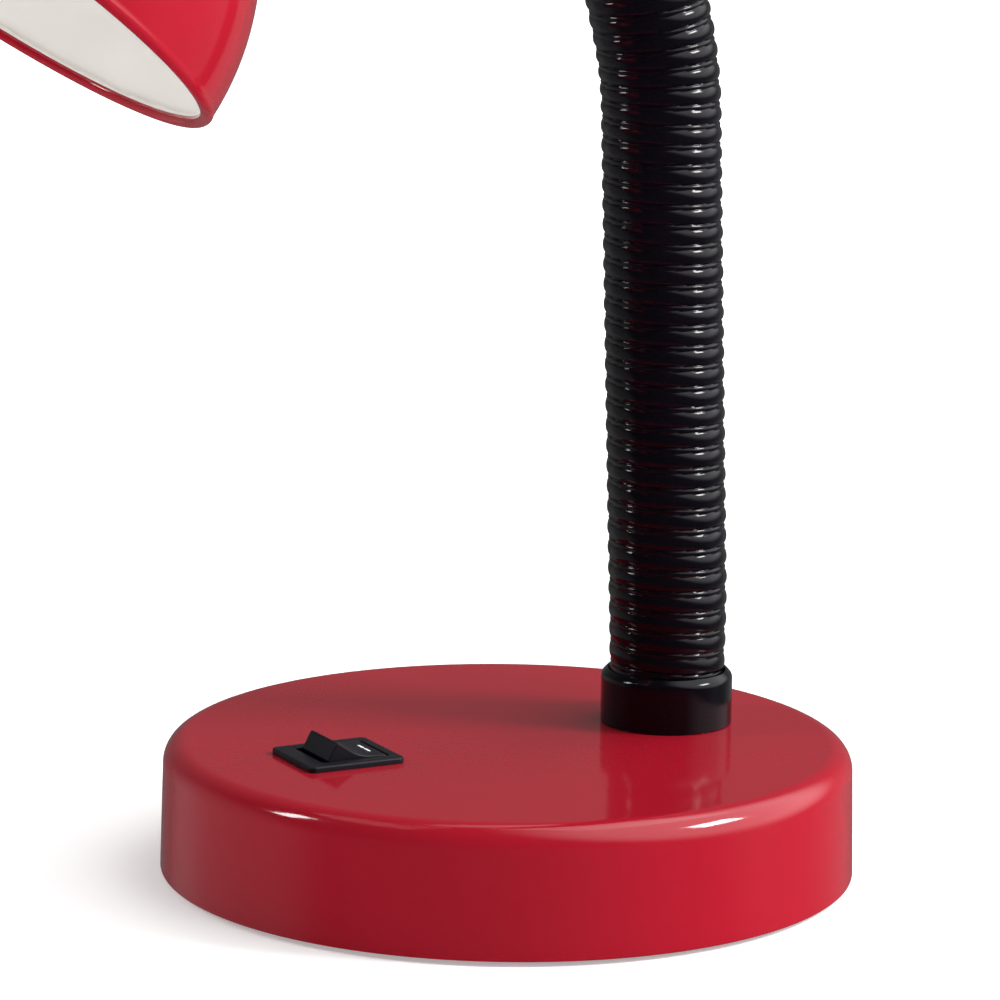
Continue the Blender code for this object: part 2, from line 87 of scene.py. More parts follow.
# Shader maths ---------------------------------------------------------------------------------


class NodeTree:
    """A tree of shader nodes."""

    def __init__(self, tree: bpy.types.NodeTree) -> None:
        """Wrap the tree that nodes are added to."""
        self.tree = tree

    def node(self, kind: str, settings: dict | None = None, output: int | str = 0,
             **sockets: object) -> "Signal":
        """Add any node.

        Args:
            kind: the node's type name without its ShaderNode prefix.
            settings: attributes that are set before the sockets.
            output: the output that is returned.
            **sockets: values or signals for sockets, by name, or by place as in_0, in_1.

        Returns:
            The chosen output as a signal.
        """
        made = self.tree.nodes.new("ShaderNode" + kind)
        for name, value in (settings or {}).items():
            setattr(made, name, value)
        for name, value in sockets.items():
            place = int(name[3:]) if name.startswith("in_") else name.replace("_", " ")
            self.feed(made.inputs[place], value)
        return Signal(self, made.outputs[output])

    def feed(self, socket: bpy.types.NodeSocket, value: object) -> None:
        """Set a socket to a number or colour, or link a signal to it."""
        if isinstance(value, Signal):
            self.tree.links.new(value.socket, socket)
        else:
            socket.default_value = value


class Shader(NodeTree):
    """The tree of one material, with its Principled shader."""

    def __init__(self, name: str) -> None:
        """Start a material.

        Args:
            name: the material's name.
        """
        self.material = bpy.data.materials.new(name)
        self.material.use_nodes = True
        super().__init__(self.material.node_tree)
        self.principled = self.tree.nodes["Principled BSDF"]

    def set(self, name: str, value: object) -> None:
        """Feed one of the Principled shader's sockets."""
        self.feed(self.principled.inputs[name], value)

    def position(self, stretch: tuple[float, float, float] = (1.0, 1.0, 1.0)) -> "Signal":
        """Object coordinates in metres, stretched along each axis."""
        place = self.node("TexCoord", output="Object")
        return self.node("Mapping", Vector=place, Scale=stretch)

    def noise(self, scale: float, detail: float = 2.0, place: "Signal | None" = None) -> "Signal":
        """Noise from 0 to 1.

        Args:
            scale: features per metre.
            detail: octaves.
            place: the coordinates that it reads.

        Returns:
            The noise value.
        """
        where = place or self.position()
        return self.node("TexNoise", Vector=where, Scale=scale, Detail=detail)

    def mix(self, factor: "Signal", first: tuple, second: tuple) -> "Signal":
        """A colour between two, by a factor from 0 to 1."""
        return self.node(
            "Mix", {"data_type": "RGBA"}, 2, in_0=factor, in_6=(*first, 1.0), in_7=(*second, 1.0)
        )

    def bump(self, height: "Signal", depth: float) -> None:
        """Feed a height through a Bump node to the shader's normal."""
        self.set("Normal", self.node("Bump", Height=height, Distance=depth, Strength=1.0))


class Signal:
    """A socket that can be added, subtracted and multiplied."""

    def __init__(self, tree: NodeTree, socket: bpy.types.NodeSocket) -> None:
        """Wrap an output socket."""
        self.tree = tree
        self.socket = socket

    def _maths(self, operation: str, first: object, second: object) -> "Signal":
        """Add a Math node with two operands."""
        return self.tree.node("Math", {"operation": operation}, in_0=first, in_1=second)

    def __add__(self, other: object) -> "Signal":
        """self + other."""
        return self._maths("ADD", self, other)

    __radd__ = __add__

    def __sub__(self, other: object) -> "Signal":
        """self - other."""
        return self._maths("SUBTRACT", self, other)

    def __rsub__(self, other: object) -> "Signal":
        """other - self."""
        return self._maths("SUBTRACT", other, self)

    def __mul__(self, other: object) -> "Signal":
        """self * other."""
        return self._maths("MULTIPLY", self, other)

    __rmul__ = __mul__


# Finishes -------------------------------------------------------------------------------------


@dataclass(frozen=True)
class Enamel:
    """Stoved gloss enamel: even colour, faint orange peel and a clear surface."""

    name: str
    colour: tuple[float, float, float]
    shadow_colour: tuple[float, float, float]
    roughness: float = 0.1
    specular: float = 0.4
    peel_depth: float = 0.012 * MM

    def material(self) -> bpy.types.Material:
        """Make the material."""
        shader = Shader(self.name)
        cloud = shader.noise(35.0, 3.0)
        shader.set("Base Color", shader.mix(cloud, self.colour, self.shadow_colour))
        shader.set("Roughness", shader.noise(90.0) * 0.05 + (self.roughness - 0.025))
        shader.set("Specular IOR Level", self.specular)
        shader.bump(shader.noise(420.0, 1.0), self.peel_depth)
        return shader.material


@dataclass(frozen=True)
class Plastic:
    """Moulded plastic: near-even colour with a fine grain."""

    name: str
    colour: tuple[float, float, float]
    worn_colour: tuple[float, float, float]
    roughness: float = 0.2
    specular: float = 0.5
    grain: float = 1500.0
    grain_depth: float = 0.01 * MM

    def material(self) -> bpy.types.Material:
        """Make the material."""
        shader = Shader(self.name)
        shader.set("Base Color", shader.mix(shader.noise(60.0), self.colour, self.worn_colour))
        shader.set("Roughness", shader.noise(140.0) * 0.08 + (self.roughness - 0.04))
        shader.set("Specular IOR Level", self.specular)
        shader.bump(shader.noise(self.grain, 2.0), self.grain_depth)
        return shader.material


@dataclass(frozen=True)
class Metal:
    """Bare or plated metal with a directional or cast grain."""

    name: str
    colour: tuple[float, float, float]
    dull_colour: tuple[float, float, float]
    roughness: float
    stretch: tuple[float, float, float] = (1.0, 1.0, 1.0)
    grain: float = 900.0
    grain_depth: float = 0.02 * MM

    def material(self) -> bpy.types.Material:
        """Make the material."""
        shader = Shader(self.name)
        streak = shader.noise(self.grain, 3.0, shader.position(self.stretch))
        shader.set("Base Color", shader.mix(streak, self.dull_colour, self.colour))
        shader.set("Metallic", 1.0)
        shader.set("Roughness", streak * 0.2 + (self.roughness - 0.1))
        shader.bump(streak, self.grain_depth)
        return shader.material


@dataclass(frozen=True)
class OpalGlass:
    """The bulb's opal glass: milky, smooth and slightly deeper in colour in places."""

    name: str
    colour: tuple[float, float, float]
    deep_colour: tuple[float, float, float]

    def material(self) -> bpy.types.Material:
        """Make the material."""
        shader = Shader(self.name)
        shader.set("Base Color", shader.mix(shader.noise(25.0), self.colour, self.deep_colour))
        shader.set("Roughness", shader.noise(200.0) * 0.06 + 0.16)
        shader.set("Subsurface Weight", 0.15)
        shader.set("Subsurface Scale", 2 * MM)
        return shader.material


class Finish(Enum):
    """The lamp's finishes. Those that a record slot uses carry its name in lower case."""

    RED_GLOSS = Enamel("red_enamel", (0.33, 0.0078, 0.0195), (0.3, 0.0066, 0.0165))
    WHITE_ENAMEL = Enamel("white_enamel", (0.95, 0.925, 0.895), (0.93, 0.905, 0.87), 0.3)
    BLACK_GLOSS = Plastic("black_neck_plastic", (0.002, 0.0015, 0.003), (0.004, 0.003, 0.005), 0.12,
                          0.2)
    BLACK_SWITCH = Plastic(
        "black_switch_plastic", (0.005, 0.005, 0.008), (0.01, 0.009, 0.013), 0.34, 0.15, 2600.0,
        0.02 * MM,
    )
    WHITE_PRINT = Plastic("white_print", (0.85, 0.85, 0.85), (0.75, 0.75, 0.76), 0.5)
    BLACK_RUBBER = Plastic("black_rubber", (0.02, 0.02, 0.02), (0.035, 0.034, 0.033), 0.75, 0.3)
    CAST_IRON = Metal("cast_iron", (0.12, 0.12, 0.125), (0.06, 0.058, 0.056), 0.6, grain=420.0,
                      grain_depth=0.12 * MM)
    PLATED_STEEL = Metal("plated_steel", (0.66, 0.66, 0.64), (0.5, 0.5, 0.49), 0.32,
                         (1.0, 1.0, 0.1))
    BRASS = Metal("brass", (0.78, 0.57, 0.26), (0.6, 0.42, 0.18), 0.26)
    WHITE_CERAMIC = Enamel("white_ceramic", (0.8, 0.79, 0.76), (0.74, 0.73, 0.69), 0.2)
    FROSTED_GLASS = OpalGlass("opal_glass", (0.86, 0.85, 0.82), (0.8, 0.79, 0.77))


class Paintbox:
    """Makes each finish's material once."""

    def __init__(self) -> None:
        """Start with no materials."""
        self._made: dict[Finish, bpy.types.Material] = {}

    def get(self, finish: Finish) -> bpy.types.Material:
        """The material of a finish."""
        if finish not in self._made:
            self._made[finish] = finish.value.material()
        return self._made[finish]


# Surfaces -------------------------------------------------------------------------------------


def unit(vector: np.ndarray) -> np.ndarray:
    """The vector scaled to length one."""
    return vector / np.linalg.norm(vector)


@dataclass(frozen=True)
class Axis:
    """A line that round pieces are turned about."""

    origin: np.ndarray
    along: np.ndarray

    def turn(self, outline: np.ndarray, columns: int) -> np.ndarray:
        """Carry an outline round the axis.

        Each point (radius, height) becomes a ring: origin + height * along
        + radius * (cos(a) * X + sin(a) * side), with a running once round.

        Args:
            outline: (rows, 2) radii and heights.
            columns: points round each ring.

        Returns:
            (rows, columns, 3) points.
        """
        turn = np.linspace(0, 2 * np.pi, columns, endpoint=False)
        side = np.cross(self.along, X_AXIS)
        ring = np.cos(turn)[:, None] * X_AXIS + np.sin(turn)[:, None] * side
        radius, height = outline[:, 0, None, None], outline[:, 1, None, None]
        return self.origin + height * self.along + radius * ring


def rounded(corners: list[tuple[float, float, float]], steps: int = 6,
            closed: bool = True) -> np.ndarray:
    """An outline whose corners are arcs.

    At a corner with opening angle g the arc of radius r starts r / tan(g / 2) before it and has
    its centre r / sin(g / 2) away on the bisector. A point just outside each arc end keeps the
    flats flat in smooth shading.

    Args:
        corners: (first, second, radius) for each corner.
        steps: steps in each arc.
        closed: whether the last corner joins the first.

    Returns:
        (points, 2) coordinates.
    """
    points: list[np.ndarray] = []
    count = len(corners)
    for i, (a, b, radius) in enumerate(corners):
        here = np.array([a, b])
        if radius <= 0 or (not closed and i in (0, count - 1)):
            points.append(here)
            continue
        back = unit(np.array(corners[i - 1][:2]) - here)
        ahead = unit(np.array(corners[(i + 1) % count][:2]) - here)
        half = np.arccos(np.clip(back @ ahead, -1, 1)) / 2
        trim = radius / np.tan(half)
        centre = here + unit(back + ahead) * radius / np.sin(half)
        start, end = here + back * trim - centre, here + ahead * trim - centre
        sweep = np.pi - 2 * half
        share = np.linspace(0, 1, steps + 1)[:, None]
        curve = (start * np.sin((1 - share) * sweep) + end * np.sin(share * sweep)) / np.sin(sweep)
        guard = 0.12 * radius
        points.append(here + back * (trim + guard))
        points.extend(centre + curve)
        points.append(here + ahead * (trim + guard))
    return np.array(points)


def quads(rows: int, columns: int, loop: bool) -> np.ndarray:
    """Corner numbers of the four-sided faces of a grid that closes round its columns.

    Args:
        rows: rings in the grid.
        columns: points in each ring.
        loop: whether the last ring joins the first.

    Returns:
        (faces, 4) point numbers.
    """
    row = np.arange(rows if loop else rows - 1)[:, None]
    column = np.arange(columns)[None, :]
    above, beside = (row + 1) % rows, (column + 1) % columns
    corners = (
        row * columns + column, row * columns + beside,
        above * columns + beside, above * columns + column,
    )
    return np.stack([np.broadcast_to(c, (row.size, columns)) for c in corners], -1).reshape(-1, 4)


def outwards(points: np.ndarray, faces: np.ndarray) -> np.ndarray:
    """The faces, turned round if the volume that they enclose comes out negative."""
    a, b, c, d = (points[faces[:, i]] for i in range(4))
    volume = np.einsum("ij,ij->", a, np.cross(b, c)) + np.einsum("ij,ij->", a, np.cross(c, d))
    return faces if volume > 0 else faces[:, ::-1]


def mesh_of(name: str, points: np.ndarray, faces: np.ndarray) -> bpy.types.Mesh:
    """A smooth-shaded mesh from points and four-sided faces."""
    mesh = bpy.data.meshes.new(name)
    mesh.vertices.add(len(points))
    mesh.vertices.foreach_set("co", points.astype(np.float32).ravel())
    mesh.loops.add(faces.size)
    mesh.loops.foreach_set("vertex_index", faces.astype(np.int32).ravel())
    mesh.polygons.add(len(faces))
    mesh.polygons.foreach_set("loop_start", np.arange(0, faces.size, 4, dtype=np.int32))
    mesh.update(calc_edges=True)
    mesh.validate()
    mesh.shade_smooth()
    return mesh


def close_poles(mesh: bpy.types.Mesh) -> None:
    """Merge the points that lie together at a pole."""
    work = bmesh.new()
    work.from_mesh(mesh)
    bmesh.ops.remove_doubles(work, verts=work.verts, dist=1e-7)
    work.to_mesh(mesh)
    work.free()


def add_piece(name: str, mesh: bpy.types.Mesh, materials: list[bpy.types.Material]) -> bpy.types.Object:
    """Link a mesh as a piece of the lamp.

    Args:
        name: the piece's name.
        mesh: its mesh, in place.
        materials: its materials.

    Returns:
        The new object.
    """
    piece = bpy.data.objects.new(name, mesh)
    bpy.context.scene.collection.objects.link(piece)
    for material in materials:
        mesh.materials.append(material)
    log.info("made %s with %d faces", name, len(mesh.polygons))
    return piece


def turned_piece(name: str, axis: Axis, outline: np.ndarray, columns: int,
                 materials: list[bpy.types.Material]) -> bpy.types.Object:
    """A closed piece turned about an axis, with sharp edges kept sharp.

    Args:
        name: the piece's name.
        axis: the line that it is turned about.
        outline: a closed outline of radii and heights.
        columns: points round each ring.
        materials: its materials.

    Returns:
        The new object.
    """
    grid = axis.turn(outline, columns)
    points = grid.reshape(-1, 3)
    faces = outwards(points, quads(len(grid), columns, True))
    mesh = mesh_of(name, points, faces)
    close_poles(mesh)
    mesh.shade_smooth()
    mesh.set_sharp_from_angle(angle=SHARP_ANGLE)
    return add_piece(name, mesh, materials)


def node_points(node: str) -> np.ndarray:
    """The points of a CAD node at rest."""
    mesh = frame["nodes"][node].data
    points = np.empty(len(mesh.vertices) * 3)
    mesh.vertices.foreach_get("co", points)
    return points.reshape(-1, 3)


def joint_place(name: str) -> np.ndarray:
    """A point on a joint's axis."""
    return np.array(next(j["pos_m"] for j in frame["joints"] if j["name"] == name), float)


def smooth_step(value: np.ndarray) -> np.ndarray:
    """Rise from 0 to 1 as the value goes from 0 to 1, level at both ends."""
    held = np.clip(value, 0, 1)
    return held * held * (3 - 2 * held)


# Base -----------------------------------------------------------------------------------------


def rounded_rectangle(half_x: float, half_y: float, radius: float, columns: int) -> np.ndarray:
    """A rectangle with round corners, as points that start at +X and run anticlockwise.

    Point k lies at corner centre + radius * (cos(a), sin(a)), with a running once round and the
    corner centres taken by quarter. Rectangles with the same columns match point for point.

    Args:
        half_x: half of its width.
        half_y: half of its length.
        radius: its corner radius.
        columns: how many points.

    Returns:
        (columns, 2) coordinates.
    """
    turn = (np.arange(columns) + 0.5) * 2 * np.pi / columns
    aim = np.stack([np.cos(turn), np.sin(turn)], -1)
    return np.sign(aim) * (np.array([half_x, half_y]) - radius) + radius * aim


@dataclass
class BaseShell:
    """The round enamelled base, open below, with a hole for the switch."""

    paint: Paintbox
    draft: float = 0.7 * MM
    fillet: float = 5.0 * MM
    wall: float = 2.5 * MM
    foot_round: float = 0.5 * MM
    hole_half: tuple[float, float] = (8.6 * MM, 8.9 * MM)
    hole_radius: float = 0.6 * MM
    columns: int = 256
    top_rows: int = 8

    def build(self) -> None:
        """Loft rings from the rim's inside up to the ceiling, through the hole and back down."""
        low, high = (np.array(v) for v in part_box("base_shell"))
        radius, lift, top = high[0], low[2], high[2]
        centre = (low + high)[:2] / 2
        ceiling = top - self.wall
        crown = radius - self.draft
        outside = rounded([
            (radius - self.wall, lift, 0.0), (radius, lift, self.foot_round),
            (crown, top, self.fillet), (0.0, top, 0.0),
        ], 14, closed=False)[:-1]
        inside = rounded([
            (radius - self.wall, lift, 0.0), (crown - self.wall, ceiling, self.wall),
            (0.0, ceiling, 0.0),
        ], 6, closed=False)[:-1]
        turn = (np.arange(self.columns) + 0.5) * 2 * np.pi / self.columns
        aim = np.stack([np.cos(turn), np.sin(turn)], -1)
        pivot = joint_place("rocker_tilt")
        hole = pivot[:2] + rounded_rectangle(*self.hole_half, self.hole_radius, self.columns)

        def ring(reach: np.ndarray, height: float) -> np.ndarray:
            """A ring of points at one height."""
            return np.column_stack([reach, np.full(len(reach), height)])

        rings = [ring(centre + r * aim, z) for r, z in outside]
        edge = centre + outside[-1][0] * aim
        for share in np.linspace(0, 1, self.top_rows + 1)[1:]:
            rings.append(ring(edge + (hole - edge) * share, top))
        edge = centre + inside[-1][0] * aim
        for share in np.linspace(1, 0, self.top_rows + 1):
            rings.append(ring(edge + (hole - edge) * share, ceiling))
        rings += [ring(centre + r * aim, z) for r, z in inside[-2:0:-1]]
        grid = np.array(rings)
        points = grid.reshape(-1, 3)
        mesh = mesh_of("base_enamel_shell", points,
                       outwards(points, quads(len(grid), self.columns, True)))
        mesh.set_sharp_from_angle(angle=SHARP_ANGLE)
        shell = add_piece(mesh.name, mesh, [self.paint.get(Finish.RED_GLOSS)])
        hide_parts("base_shell")
        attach(shell, "base")


# Switch ---------------------------------------------------------------------------------------


@dataclass
class RockerSwitch:
    """The bezel, the V-topped rocker and its printed mark."""

    paint: Paintbox
    bezel_corner: float = 1.5 * MM
    bezel_round: float = 0.45 * MM
    opening_half: tuple[float, float] = (6.9 * MM, 7.9 * MM)
    opening_corner: float = 0.5 * MM
    rest_tilt: float = -18.0
    end: tuple[float, float] = (6.15 * MM, 5.15 * MM)
    dip: float = 3.35 * MM
    skirt: tuple[float, float] = (6.95 * MM, 0.8 * MM)
    hub: float = 3.1 * MM
    half_width: float = 6.4 * MM
    edge: float = 0.3 * MM
    mark: tuple[float, float, float] = (1.25 * MM, 0.3 * MM, 0.06 * MM)
    mark_gap: float = 0.25 * MM
    mark_share: float = 0.64
    mark_columns: int = 32
    bezel_sink: float = 0.05 * MM
    bezel_lip: float = 0.2 * MM
    columns: int = 96
    centre: np.ndarray = field(init=False)
    pivot: np.ndarray = field(init=False)

    def build(self) -> None:
        """Make the three kinds of piece."""
        low, high = (np.array(v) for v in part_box("switch_bezel"))
        self.centre = np.array([0.0, (low[1] + high[1]) / 2, high[2]])
        self.pivot = joint_place("rocker_tilt")
        self._bezel((high - low)[:2] / 2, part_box("base_shell")[1][2])
        self._rocker()
        self._marks()

    def _bezel(self, half: np.ndarray, foot: float) -> None:
        """The rim round the rocker: matching round-cornered rings from outside to inside."""
        top = self.centre[2]
        soft = self.bezel_round
        rise = np.linspace(0, np.pi / 2, 6)
        rings: list[np.ndarray] = []

        def offset(middle: np.ndarray, sizes: tuple, corner: float, inset: float,
                   height: float) -> None:
            """One ring round a middle point, drawn in by an inset."""
            ring = rounded_rectangle(sizes[0] - inset, sizes[1] - inset,
                                     max(corner - inset, 1e-5), self.columns)
            rings.append(np.column_stack([ring + middle[:2], np.full(self.columns, height)]))

        offset(self.centre, half, self.bezel_corner, 0.0, foot + self.bezel_sink)
        for angle in rise:
            inset = soft * (1 - np.cos(angle))
            offset(self.centre, half, self.bezel_corner, inset, top - soft * (1 - np.sin(angle)))
        inner, lip = self.opening_half, self.bezel_lip
        for angle in rise:
            inset = -lip * (1 - np.sin(angle))
            height = top - lip * (1 - np.cos(angle))
            offset(self.pivot, inner, self.opening_corner, inset, height)
        offset(self.pivot, inner, self.opening_corner, 0.0, foot + self.bezel_sink)
        grid = np.array(rings)
        points = grid.reshape(-1, 3)
        mesh = mesh_of("switch_rim", points, outwards(points, quads(len(grid), self.columns, True)))
        mesh.set_sharp_from_angle(angle=SHARP_ANGLE)
        rim = add_piece(mesh.name, mesh, [self.paint.get(Finish.BLACK_SWITCH)])
        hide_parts("switch_bezel")
        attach(rim, "base")

    def _placed(self, side: np.ndarray) -> np.ndarray:
        """Turn (y, z) about the pivot to the rest tilt, and move it into place."""
        tilt = np.radians(self.rest_tilt)
        turn = np.array([[np.cos(tilt), -np.sin(tilt)], [np.sin(tilt), np.cos(tilt)]])
        return side @ turn.T + self.pivot[1:]

    def _rocker(self) -> None:
        """The rocker: a rounded side outline carried across, with bevelled ends."""
        (end_y, end_z), (skirt_y, skirt_z) = self.end, self.skirt
        side = self._placed(rounded([
            (-end_y, end_z, 0.5 * MM), (0.0, self.dip, 9.0 * MM), (end_y, end_z, 0.5 * MM),
            (skirt_y, skirt_z, 0.4 * MM), (self.hub, -self.hub, 0.4 * MM),
            (-self.hub, -self.hub, 0.4 * MM), (-skirt_y, skirt_z, 0.4 * MM),
        ], 5))
        work = bmesh.new()
        verts = [work.verts.new((-self.half_width, y, z)) for y, z in side]
        grown = bmesh.ops.extrude_face_region(work, geom=[work.faces.new(verts)])["geom"]
        moved = [item for item in grown if isinstance(item, bmesh.types.BMVert)]
        bmesh.ops.translate(work, verts=moved, vec=(2 * self.half_width, 0, 0))
        bmesh.ops.recalc_face_normals(work, faces=work.faces)
        mesh = bpy.data.meshes.new("rocker_paddle")
        work.to_mesh(mesh)
        work.free()
        mesh.shade_smooth()
        rocker = add_piece(mesh.name, mesh, [self.paint.get(Finish.BLACK_SWITCH)])
        bevel = rocker.modifiers.new("soft_edges", "BEVEL")
        bevel.width = self.edge
        bevel.segments = 3
        bevel.limit_method = "ANGLE"
        bevel.angle_limit = np.radians(60)
        bevel.harden_normals = True
        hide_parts("switch_rocker")
        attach(rocker, "rocker")

    def _marks(self) -> None:
        """Two short printed dashes on the back half of the rocker."""
        length, width, height = self.mark
        slope = np.array([self.end[0], self.end[1] - self.dip])
        middle = self.mark_share * slope + [0.0, self.dip]
        slope = unit(slope)
        normal = np.array([-slope[1], slope[0]])
        ring = rounded_rectangle(length, width, width * 0.6, self.mark_columns)
        for name, side in (("mark_left", -1), ("mark_right", 1)):
            shift = side * (length + self.mark_gap)
            layers = []
            for lift, size in ((-height, 1.0), (height * 0.6, 1.0), (height, 0.97), (height, 0.0)):
                spread = middle + np.outer(ring[:, 1] * size, slope) + normal * lift
                across = ring[:, 0] * size + shift
                layers.append(np.column_stack([across, self._placed(spread)]))
            grid = np.array([np.full_like(layers[0], layers[0].mean(0)), *layers])
            points = grid.reshape(-1, 3)
            faces = quads(len(grid), self.mark_columns, False)
            mesh = mesh_of(name, points, outwards(points, faces))
            close_poles(mesh)
            mesh.shade_smooth()
            mesh.set_sharp_from_angle(angle=SHARP_ANGLE)
            mark = add_piece(name, mesh, [self.paint.get(Finish.WHITE_PRINT)])
            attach(mark, "rocker")


# Neck -----------------------------------------------------------------------------------------


@dataclass
class NeckRoute:
    """The middle line of the neck in the YZ plane: straights joined by arcs at the hinges."""

    bend_trim: float = 9.0 * MM
    foot_trim: float = 9.0 * MM
    step: float = 0.1 * MM
    hinges: np.ndarray = field(init=False)
    knots: np.ndarray = field(init=False)
    leans: np.ndarray = field(init=False)
    at_hinge: np.ndarray = field(init=False)
    shade_axis: np.ndarray = field(init=False)

    def __post_init__(self) -> None:
        """Work out the leans and the lengths along the line from the frame's hinges."""
        joints = [j for j in frame["joints"] if j["name"].startswith("neck_")]
        by_parent = {j["parent"]: j for j in joints}
        body, order = "base", []
        while body in by_parent:
            order.append(by_parent[body])
            body = by_parent[body]["child"]
        self.bodies = ["base"] + [j["child"] for j in order]
        self.hinges = np.array([j["pos_m"] for j in order], float)
        low, high = (np.array(v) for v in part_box("neck_sleeve_00"))
        start = np.array([0.0, self.hinges[0][1], low[2]])
        self.shade_axis = unit(node_points("shade").mean(0) - self.hinges[-1])
        reach = (node_points("neck_sleeve_12") - self.hinges[-1]) @ self.shade_axis
        end = self.hinges[-1] + self.shade_axis * reach.max()
        corners = np.vstack([start, self.hinges, end])
        spans = np.diff(corners, axis=0)
        lengths = np.linalg.norm(spans, axis=1)
        lean = np.arctan2(-spans[:, 1], spans[:, 2])
        turns = np.diff(lean)
        last_steps = len(self.hinges) - 6
        trims = np.full(len(turns), self.bend_trim)
        trims[0] = self.foot_trim
        trims[last_steps:] = lengths[last_steps + 1] / 2
        trims[np.abs(turns) < 1e-3] = 0.0
        arcs = np.where(trims > 0, turns * trims / np.tan(np.maximum(turns, 1e-6) / 2), 0.0)
        knots, leans, along = [0.0], [lean[0]], 0.0
        self.at_hinge = np.zeros(len(turns))
        for i, (turn, trim, arc) in enumerate(zip(turns, trims, arcs)):
            along += lengths[i] - (trims[i - 1] if i else 0.0) - trim
            self.at_hinge[i] = along + arc / 2
            knots += [along, along + arc]
            leans += [lean[i], lean[i] + turn]
            along += arc
        along += lengths[-1] - trims[-1]
        self.knots, self.leans = np.array(knots + [along]), np.array(leans + [lean[-1]])
        self.length = along
        steps = np.arange(0, along + self.step, self.step)
        middle = np.interp(steps[:-1] + self.step / 2, self.knots, self.leans)
        moves = np.column_stack([0 * middle, -np.sin(middle), np.cos(middle)]) * self.step
        self._steps = steps
        self._points = start + np.vstack([np.zeros(3), np.cumsum(moves, axis=0)])

    def point(self, along: np.ndarray) -> np.ndarray:
        """Points on the line at lengths along it."""
        return np.stack([np.interp(along, self._steps, self._points[:, i]) for i in range(3)], -1)

    def normal(self, along: np.ndarray) -> np.ndarray:
        """Unit vectors across the line in the YZ plane, towards the outside of the arch."""
        lean = np.interp(along, self.knots, self.leans)
        return np.stack([0 * lean, np.cos(lean), np.sin(lean)], -1)


